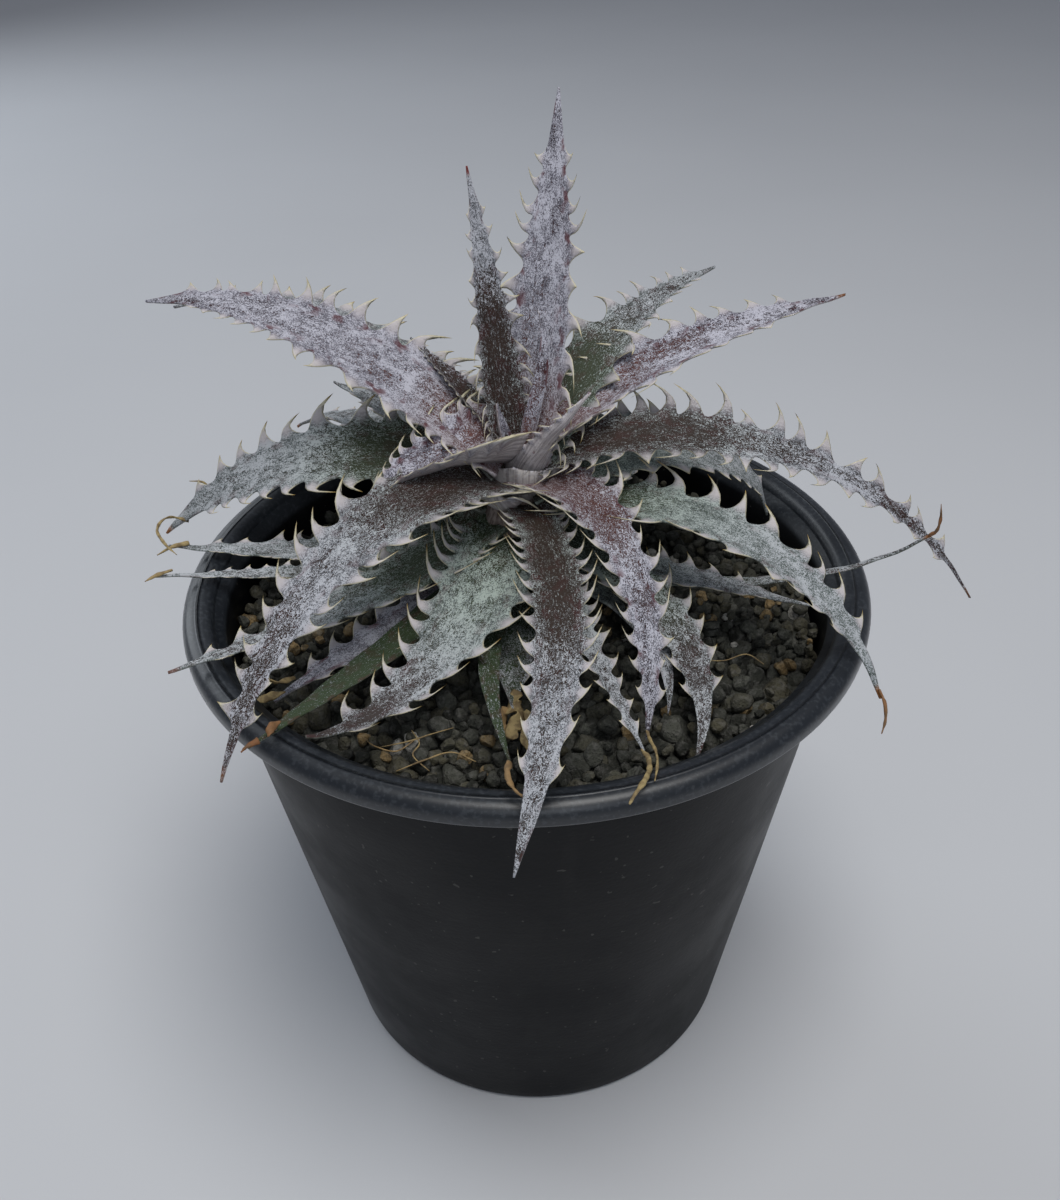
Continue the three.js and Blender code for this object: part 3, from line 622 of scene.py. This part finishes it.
def build_leaf(name, row, number, material):
    curve = Midline(*row[:7])
    root_height = row[1]
    width, roll_root, roll_tip, age, coat, dusk, teeth, hook, fine = row[7:]
    rng = np.random.default_rng(LEAF_SEED + number)
    slim = min(1.0, width / WIDE)
    size = slim ** 0.7 * (0.5 if name.startswith("heart") else 1)
    crowding, waning = CROWDED.get(name, USUAL_CROWDING), WANING.get(name, USUAL_WANING)
    right, left = tooth_rows(curve.length, size, teeth, crowding, waning, fine, rng)

    # The mesh's columns: v runs over the top from the right margin, 1, to the left, -1, and back below.
    half_top, half_under = (TOP_FINE, UNDER_FINE) if fine else (TOP, UNDER)
    top = np.r_[1, half_top[:0:-1], -half_top, -1]
    under = np.r_[-half_under[:0:-1], half_under]
    v = np.r_[top, under]
    below = np.r_[0.5, np.zeros(len(top) - 2), 0.5, np.ones(len(under))]
    place = np.clip(lerp(left[0][:, None], right[0][:, None], (1 + v) / 2), 0, curve.length)
    tall, turn, lift, shape = [np.where(v > 0, r[:, None], l[:, None]) for r, l in zip(right[1:], left[1:])]
    drawn = np.interp(np.abs(v), REACH_PLACES, REACH_SHARES)
    out = tall * shape * drawn
    tooth = np.where(tall > 0, shape * drawn, 0)

    # The leaf's own axes along its curve.
    u = place / curve.length
    centre, way = curve.at(place)
    side = unit(np.cross(way, [0.0, 0.0, 1.0]))
    over = np.cross(side, way)
    roll = np.radians(lerp(roll_root, roll_tip, u))[..., None]
    side, over = [axis * np.cos(roll) + np.cross(way, axis) * np.sin(roll) for axis in (side, over)]

    # The cross-section: hollow above, rounded below, thin at the margins, broad and hollow in the sheath.
    sheath = np.exp(-(place / 6.5) ** 2)
    flare = 0.34 if root_height > NECK_HEIGHT else 0.16
    half = width / 2 * width_share(u, TAPER.get(name, "plain")) * (1 + flare * sheath * (width > 5))
    wave = np.sin(place * 0.55 + number) * 0.5 + np.sin(place * 0.23 + 2.1 * number) * 0.5
    half = half * (1 + 0.025 * wave)
    thick = lerp(2.2 * slim, 0.5, u)
    margin = 0.62 * slim * (1 - 0.55 * u)
    rim = (FOLDED.get(name, USUAL_FOLD) + 0.28 * sheath) * half
    a = np.abs(v)
    high = 0.4 * thick * (1 - a ** 2) + rim * a ** 2
    low = lerp(-0.6 * thick, rim - margin, a ** 2.2)
    body = np.where(a > 0.999, 0, (high - low) / 2 * (1 - 0.84 * tooth))
    rise = (high + low) / 2 + np.where(below > 0.75, -body, body) + lift * out * (0.4 + 0.6 * tooth)
    rise += 0.10 * np.sin(place * 0.8 + number * 1.7) * (1 - sheath)

    # Each tooth leans one way at its foot and curls the other way at its point.
    share = np.divide(out, tall, out=np.zeros_like(out), where=tall > 0)
    lean = tall * (tooth_hook(name, hook, u) + turn) * (1.85 * share ** 2.8 - 0.82 * share)
    across = half * v + np.sign(v) * out * 0.90
    points = centre + side * across[..., None] + over * rise[..., None] - way * lean[..., None]

    values = {"along": u, "across": np.broadcast_to(a, u.shape), "tooth": tooth,
              "under": np.broadcast_to(below, u.shape)}
    tipped, fade = TIPPED.get(name, 0.0), FADED.get(name, 0.0)
    for key, value in (("age", age), ("coat", coat), ("dusk", dusk), ("tipped", tipped), ("fade", fade)):
        values[key] = np.full(u.shape, value)
    grain = SHEATH_GRAIN if name in SHEATHS else 1
    blade = np.stack([place - lean, across * grain, np.full(u.shape, BLADE_APART * number)], -1)
    faces = tube_faces(*place.shape)
    piece = new_piece("dyckia_leaf_" + name, points.reshape(-1, 3), faces, material, values, blade)
    if name in LEAVES:
        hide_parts("leaf_" + name)


# ---------------------------------------------------------------- pot
POT_SIDES = 168
DRAINS, DRAIN_RADIUS, DRAIN_CIRCLE, DRAIN_DEPTH = 8, 2.6, 22, 12


def pot_inside(height):
    """The radius of the pot's inner side, as in the CAD model."""
    share = (height - POT["floor"]) / (POT["height"] - POT["floor"])
    return lerp(POT["base"] - POT["wall"], POT["mouth"] - POT["wall"] / 2, share)


def arc(centre, radius, start, end, steps):
    angles = np.radians(np.linspace(start, end, steps + 1))
    return [(centre[0] + radius * math.cos(a), centre[1] + radius * math.sin(a)) for a in angles]


def lathe(profile, segments, centre=(0, 0)):
    """Points and faces of a profile turned about +Z. The profile starts and ends on the axis."""
    profile = np.array(profile, float)
    turned = profile[1:-1]
    angles = np.linspace(0, 2 * np.pi, segments, endpoint=False)
    ring = np.stack([np.outer(turned[:, 0], np.cos(angles)), np.outer(turned[:, 0], np.sin(angles)),
                     np.repeat(turned[:, 1:2], segments, 1)], -1).reshape(-1, 3)
    points = np.vstack([ring, [0, 0, profile[0, 1]], [0, 0, profile[-1, 1]]]) + [centre[0], centre[1], 0]
    faces = grid_faces(len(turned), segments)
    bottom, top = len(ring), len(ring) + 1
    last = (len(turned) - 1) * segments
    for i in range(segments):
        j = (i + 1) % segments
        faces += [[j, i, bottom], [last + i, last + j, top]]
    return points, faces


def drill(pot, angle):
    place = (DRAIN_CIRCLE * MM * math.cos(angle), DRAIN_CIRCLE * MM * math.sin(angle), 0)
    bpy.ops.mesh.primitive_cylinder_add(vertices=32, radius=DRAIN_RADIUS * MM, depth=DRAIN_DEPTH * MM,
                                        location=place)
    cutter = bpy.context.object
    cut = pot.modifiers.new("drain", "BOOLEAN")
    cut.operation, cut.solver, cut.object = "DIFFERENCE", "EXACT", cutter
    drilled = bpy.data.meshes.new_from_object(pot.evaluated_get(bpy.context.evaluated_depsgraph_get()))
    pot.modifiers.clear()
    pot.data = drilled
    bpy.data.objects.remove(cutter)


def build_pot(material):
    """From the middle below: hub, foot ring, wall, lip, rolled rim, inner side and floor."""
    rim, mouth, base, height = POT["rim"], POT["mouth"], POT["base"], POT["height"]
    wall, floor, rounding = POT["wall"], POT["floor"], POT["rounding"]
    under_lip = height - POT["lip_drop"]
    neck = pot_inside(under_lip) + wall
    wall_line = [(lerp(base, neck, t), lerp(1.0, under_lip - 1, t)) for t in np.linspace(0.02, 1, 24)]
    inner = [(pot_inside(h), h) for h in np.linspace(height - 2.2, floor + 0.6, 20)]
    profile = (
        [(0, 0), (12.6, 0), (13, 0.1), (14.2, 1.2), (30.8, 1.2), (31.9, 0.12), (32.3, 0)]
        + arc((base - 1, 1), 1, -90, -10, 6)
        + wall_line
        + arc((neck + 1, under_lip - 1), 1, 180, 95, 5)
        + [(rim - 1.1, under_lip), (rim - 0.75, under_lip - 0.25), (rim - 0.35, under_lip - 0.25)]
        + arc((rim - 0.45, under_lip + 0.2), 0.45, -60, 0, 3)
        + [(rim, under_lip + 0.7)]
        + arc((rim - rounding, height - rounding), rounding, 0, 90, 12)
        + [(rim - 2.6, height + 0.02), (mouth + 2.6, height + 0.02)]
        + arc((mouth + rounding, height - rounding), rounding, 90, 172, 10)
        + inner
        + [(pot_inside(floor) - 0.7, floor), (10, floor), (0, floor)]
    )
    points, faces = lathe(profile, POT_SIDES)
    pot = new_piece("nursery_pot", points, faces, material)
    for i in range(DRAINS):
        drill(pot, 2 * math.pi * i / DRAINS)
    pot.data.materials.clear()
    pot.data.materials.append(material)
    pot.data.polygons.foreach_set("use_smooth", np.ones(len(pot.data.polygons), bool))
    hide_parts("pot")


# ---------------------------------------------------------------- gravel
GRAVEL_SEED = 41
FRONT = 8  # stones at a smaller y are seen close up
CLEAR_OF_STEM = 8.5
# Layers of loose grains: smallest and largest size, share of the size that a grain is lifted, tries, wanted.
GRAIN_LAYERS = ((0.95, 2.1, -0.50, 26000, 1500), (0.6, 1.6, 0.55, 2400, 560))


def ground(x, y):
    """The height of the gravel's surface, the CAD surface."""
    radius = np.hypot(x, y)
    ripple = np.sin(x * 0.41 + 1.3) * np.cos(y * 0.37) + 0.5 * np.sin((x + y) * 0.23)
    rise = 0.54 * ripple + 1.2 * np.exp(-((radius / 22) ** 2))
    rim = pot_inside(GRAVEL_HEIGHT) - 0.9
    return GRAVEL_HEIGHT + rise * np.clip((rim - radius) / 6, 0, 1)


def ball(levels):
    kit = bmesh.new()
    bmesh.ops.create_icosphere(kit, subdivisions=levels, radius=1.0)
    kit.verts.ensure_lookup_table()
    points = np.array([tuple(v.co) for v in kit.verts])
    faces = np.array([[v.index for v in f.verts] for f in kit.faces])
    kit.free()
    return points, faces


def stones(name, centres, sizes, tones, levels, material, rng):
    """Sub-angular grains, each a ball cut by random planes and made a little uneven, joined in one piece."""
    shape, faces = ball(levels)
    all_points, all_faces = [], []
    for i, (centre, size) in enumerate(zip(centres, sizes)):
        points = shape.copy()
        for _ in range(7):
            way = unit(rng.normal(size=3))
            limit = rng.uniform(0.52, 0.86)
            points -= np.maximum(points @ way - limit, 0)[:, None] * way
        for depth, pitch in ((0.05, 4.0), (0.035, 9.0)):
            points *= 1 + depth * np.sin(points @ rng.normal(0, pitch, 3) + rng.uniform(0, 6))[:, None]
        points *= rng.uniform(0.74, 1.22, 3)
        turn, _ = np.linalg.qr(rng.normal(size=(3, 3)))
        if np.linalg.det(turn) < 0:
            turn[:, 0] *= -1
        all_points.append(points @ turn.T * size + centre)
        all_faces.append(faces + i * len(shape))
    values = {"tone": np.repeat(tones, len(shape))}
    new_piece(name, np.vstack(all_points), np.vstack(all_faces).tolist(), material, values)


def scatter(rng, wanted, radius, low, high, tries):
    """Discs of random size that overlap little, in a round bed, larger in front: (x, y, size)."""
    kept = np.empty((0, 3))
    for _ in range(tries):
        r = radius * math.sqrt(rng.random())
        a = rng.uniform(0, 2 * math.pi)
        x, y = r * math.cos(a), r * math.sin(a)
        size = (low + (high - low) * rng.random() ** 1.8) * (1 + 0.28 * smooth(-(y + 12) / 14))
        if r + size > radius + 0.5:
            continue
        if (np.hypot(kept[:, 0] - x, kept[:, 1] - y) < (kept[:, 2] + size) * 0.80).any():
            continue
        kept = np.vstack([kept, (x, y, size)])
        if len(kept) == wanted:
            break
    return kept


def build_gravel(material):
    """A bed a little below the CAD surface, and the loose grains that cover it."""
    rng = np.random.default_rng(GRAVEL_SEED)
    radius = pot_inside(GRAVEL_HEIGHT) - 0.4
    bottom, side_top, surface = POT["floor"] + 0.3, 82.6, 83.0
    profile = [(0, bottom), (pot_inside(bottom) - 0.9, bottom), (radius - 0.6, side_top)]
    profile += [(radius * k / 14 * 0.985, surface) for k in range(14, -1, -1)]
    points, faces = lathe(profile, 96)
    top = points[:, 2] > surface - 0.1
    points[top, 2] = ground(points[top, 0], points[top, 1]) - 1.3
    # The bed takes only the grit's darker tones: partly the grit's own dark grains, partly painted shade in
    # the gaps between the loose grains.
    tone = rng.uniform(0.0, 0.5, len(points))
    bed = new_piece("grit_bed", points, faces, material, {"tone": tone})
    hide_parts("gravel")
    for layer, (low, high, lift, tries, wanted) in enumerate(GRAIN_LAYERS):
        discs = scatter(rng, wanted, radius, low, high, tries)
        away = np.hypot(discs[:, 0] - CROWN_AXIS[0], discs[:, 1] - CROWN_AXIS[1]) > CLEAR_OF_STEM
        x, y, size = discs[away].T
        z = ground(x, y) + lift * size + rng.uniform(-0.35, 0.35, len(x))
        tones = rng.random(len(x))
        centres = np.stack([x, y, z], -1)
        for part, keep, levels in (("front", y < FRONT, 3), ("back", y >= FRONT, 2)):
            stones(f"grit_{layer}_{part}", centres[keep], size[keep], tones[keep], levels, material, rng)


# ---------------------------------------------------------------- crown
def build_crown(material):
    """The stem as in the CAD model, with shallow ribs."""
    heights = [66, 68, 71, 74, 78, 82, 86, 90, 94, 98, 102, 104, 105.5, 106.5, 107.3, 107.8, 108]
    radii = [4.5, 5.4, 6.6, 7.5, 7.5, 7.5, 7.5, 7.5, 7.5, 6.4, 4.6, 3.8, 3.0, 2.3, 1.5, 0.8, 0]
    points, faces = lathe([(0, heights[0]), *zip(radii, heights)], 64, CROWN_AXIS)
    x, y = points[:, 0] - CROWN_AXIS[0], points[:, 1] - CROWN_AXIS[1]
    angle = np.arctan2(y, x)
    scale = 1 + 0.04 * np.sin(9 * angle + points[:, 2] * 0.9) + 0.03 * np.sin(5 * angle - points[:, 2] * 0.6)
    points[:, 0], points[:, 1] = CROWN_AXIS[0] + x * scale, CROWN_AXIS[1] + y * scale
    crown = new_piece("stem", points, faces, material)
    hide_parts("crown")


# ---------------------------------------------------------------- dried ends and rootlets
# Each strand: tone from 0, straw, to 1, orange-brown; flatness; then its points (x, y, z, radius).
DRIED = {
    "left_back_hook": (0.15, 0.5, [(-57.8, 14.6, 94.6, 0.7), (-60.0, 12.6, 96.6, 0.5),
        (-61.1, 10.4, 97.0, 0.42), (-61.0, 7.6, 96.8, 0.42), (-59.0, 4.5, 96.2, 0.36),
        (-56.9, 2.4, 95.6, 0.2)]),
    "left_back_shred": (0.1, 0.6, [(-53.2, 17.6, 97.6, 0.4), (-55.2, 19.4, 99.2, 0.3),
        (-57.8, 19.8, 99.4, 0.15)]),
    "left_flat_end": (0.2, 0.6, [(-56.0, 7.0, 94.9, 0.6), (-58.4, 5.4, 95.2, 0.6),
        (-60.4, 3.4, 95.0, 0.25)]),
    "left_thin_end": (0.3, 0.6, [(-57.0, -1.0, 94.9, 0.5), (-59.0, -2.6, 95.1, 0.5),
        (-60.6, -4.2, 95.0, 0.2)]),
    "broken_flap": (0.25, 0.25, [(-34.6, -23.6, 90.2, 0.4), (-36.8, -25.6, 91.0, 1.0),
        (-38.6, -24.8, 90.9, 0.9), (-39.6, -26.4, 90.0, 0.4)]),
    "broken_end": (0.0, 0.3, [(-36.0, -25.6, 89.2, 0.6), (-38.2, -27.0, 89.4, 1.0),
        (-39.8, -28.6, 89.6, 0.8), (-39.0, -30.0, 89.4, 0.3)]),
    "green_patch": (0.8, 0.35, [(-34.9, -42.0, 95.2, 0.4), (-34.6, -40.8, 95.7, 1.0),
        (-33.8, -39.2, 95.4, 0.4)]),
    "green_end": (0.95, 0.6, [(-36.2, -42.4, 94.9, 0.7), (-37.6, -43.6, 94.9, 0.6),
        (-38.2, -44.4, 94.7, 0.2)]),
    "paper_1": (0.2, 0.10, [(-1.6, -28.6, 90.6, 1.2), (-2.4, -31.4, 90.0, 2.2),
        (-1.2, -33.4, 90.2, 1.4), (-2.4, -35.6, 89.0, 1.9), (-1.8, -37.2, 89.2, 0.3)]),
    "paper_2": (0.1, 0.10, [(-0.6, -33.0, 90.6, 0.5), (0.4, -35.2, 89.6, 1.7), (-1.0, -37.0, 89.2, 0.7),
        (0.2, -38.8, 88.8, 1.2), (1.2, -39.6, 89.4, 0.2)]),
    "paper_3": (0.5, 0.12, [(-3.4, -31.2, 89.8, 0.8), (-4.0, -33.8, 89.0, 1.6),
        (-2.8, -36.0, 88.6, 0.6)]),
    "narrow_curl": (0.55, 0.5, [(-2.7, -48.0, 94.8, 0.8), (-3.0, -50.6, 95.4, 0.7),
        (-2.4, -53.0, 95.5, 0.6), (-1.2, -54.4, 95.2, 0.5), (0.6, -54.6, 94.8, 0.2)]),
    "front_right_narrow_curl": (0.0, 0.6, [(15.2, -42.2, 90.8, 0.6), (15.7, -44.4, 91.6, 0.6),
        (15.5, -48.0, 92.9, 0.55), (14.4, -52.2, 94.9, 0.6), (13.1, -54.3, 94.9, 0.55),
        (12.2, -55.6, 94.3, 0.2)]),
    "front_right_curl": (0.1, 0.5, [(16.4, -36.0, 89.4, 0.4), (16.4, -39.6, 90.6, 0.38),
        (16.8, -43.4, 91.9, 0.35), (16.7, -46.8, 92.7, 0.35), (15.9, -50.8, 93.5, 0.15)]),
    "right_dry_tip": (0.9, 0.7, [(60.4, -12.2, 104.6, 0.5), (61.2, -12.6, 105.6, 0.45),
        (61.5, -12.4, 107.6, 0.35), (61.3, -12.0, 109.8, 0.12)]),
    "right_low_tip": (0.8, 0.6, [(50.3, -30.6, 90.4, 0.5), (50.8, -32.4, 89.4, 0.45),
        (50.5, -34.6, 88.2, 0.35), (49.8, -36.0, 86.8, 0.12)]),
}
ROOTLETS = [
    (0.3, 0.9, [(-21.5, -35.0, 86.2, 0.12), (-17.1, -35.4, 87.6, 0.18), (-14.3, -34.4, 87.8, 0.16),
        (-11.0, -32.4, 87.2, 0.1)]),
    (0.35, 0.9, [(-18.6, -41.0, 87.2, 0.1), (-14.7, -39.7, 87.9, 0.18), (-11.0, -38.4, 88.0, 0.18),
        (-7.6, -39.6, 87.2, 0.1)]),
    (0.25, 0.9, [(-17.0, -32.5, 87.0, 0.12), (-15.6, -36.4, 88.0, 0.16), (-16.4, -38.6, 87.8, 0.16),
        (-14.0, -41.2, 87.2, 0.1)]),
    (0.45, 0.9, [(-24.0, -33.0, 86.4, 0.1), (-22.0, -36.0, 87.4, 0.16), (-18.8, -37.4, 87.6, 0.16),
        (-16.2, -35.0, 87.6, 0.1)]),
    (0.3, 0.9, [(27.0, -18.0, 86.6, 0.1), (30.0, -19.4, 87.6, 0.14), (33.6, -17.8, 87.4, 0.14),
        (36.0, -19.6, 86.8, 0.1)]),
]
STRAND_SIZE, STRAND_LEAST = 0.68, 0.06  # a scale for the radii, and the least radius
STRAND_SIDES = 8
STRAND_STEPS = 7  # from one knot to the next


def strand(flatness, knots):
    """A tube along a smooth line through the knots, a little uneven and twisted, closed at both ends."""
    knots = np.array(knots, float)
    padded = np.vstack([2 * knots[0] - knots[1], knots, 2 * knots[-1] - knots[-2]])
    line = []
    for k in range(len(knots) - 1):
        p = padded[k:k + 4]
        for t in np.linspace(0, 1, STRAND_STEPS, endpoint=False):
            line.append(0.5 * (2 * p[1] + (p[2] - p[0]) * t + (2 * p[0] - 5 * p[1] + 4 * p[2] - p[3]) * t * t
                               + (3 * p[1] - p[0] - 3 * p[2] + p[3]) * t ** 3))
    line = np.array(line + [knots[-1]])
    step = np.arange(len(line))
    centre = line[:, :3]
    swell = 1 + 0.12 * np.sin(step * 1.3 + knots[0, 0])
    radius = np.maximum(line[:, 3] * STRAND_SIZE * swell, STRAND_LEAST)
    way = unit(np.gradient(centre, axis=0))
    side = unit(np.cross(way, [0.12, 0.2, 1.0]))
    over = np.cross(side, way)
    twist = (0.9 * np.sin(step * 0.33 + knots[0, 1]))[:, None]
    side, over = side * np.cos(twist) + over * np.sin(twist), over * np.cos(twist) - side * np.sin(twist)
    angles = np.linspace(0, 2 * np.pi, STRAND_SIDES, endpoint=False)[None, :, None]
    ring = side[:, None] * np.cos(angles) + over[:, None] * (flatness * np.sin(angles))
    points = (centre[:, None] + ring * radius[:, None, None]).reshape(-1, 3)
    return points, tube_faces(len(line), STRAND_SIDES)


def build_strands(name, strands, material):
    points, faces, tones, count = [], [], [], 0
    for tone, flatness, knots in strands:
        made, loops = strand(flatness, knots)
        points.append(made)
        faces += [[i + count for i in loop] for loop in loops]
        tones += [tone] * len(made)
        count += len(made)
    new_piece(name, np.vstack(points), faces, material, {"tone": tones})


# ---------------------------------------------------------------- make it all
add_camera()
set_world()
add_light("key", (0.08, -0.14, 0.80), (0, 0, 0.1), 0.44, 3.4, (1.0, 0.985, 0.96))
add_light("front", (0.10, -0.80, 0.60), (0, 0, 0.08), 0.45, 1.3, (0.86, 0.92, 1.0))
add_light("back", (-0.62, 0.62, 0.50), (0, 0, 0.08), 0.70, 2.4, (0.88, 0.94, 1.0))
add_floor()

leaf_finish = leaf_material()
for number, (name, row) in enumerate((LEAVES | SHEATHS).items()):
    build_leaf(name, row, number, leaf_finish)
build_pot(pot_material())
build_gravel(gravel_material())
build_crown(stem_material())
straw = straw_material()
build_strands("dried_ends", DRIED.values(), straw)
build_strands("rootlets", ROOTLETS, straw)

bpy.context.scene.view_settings.view_transform = "Standard"
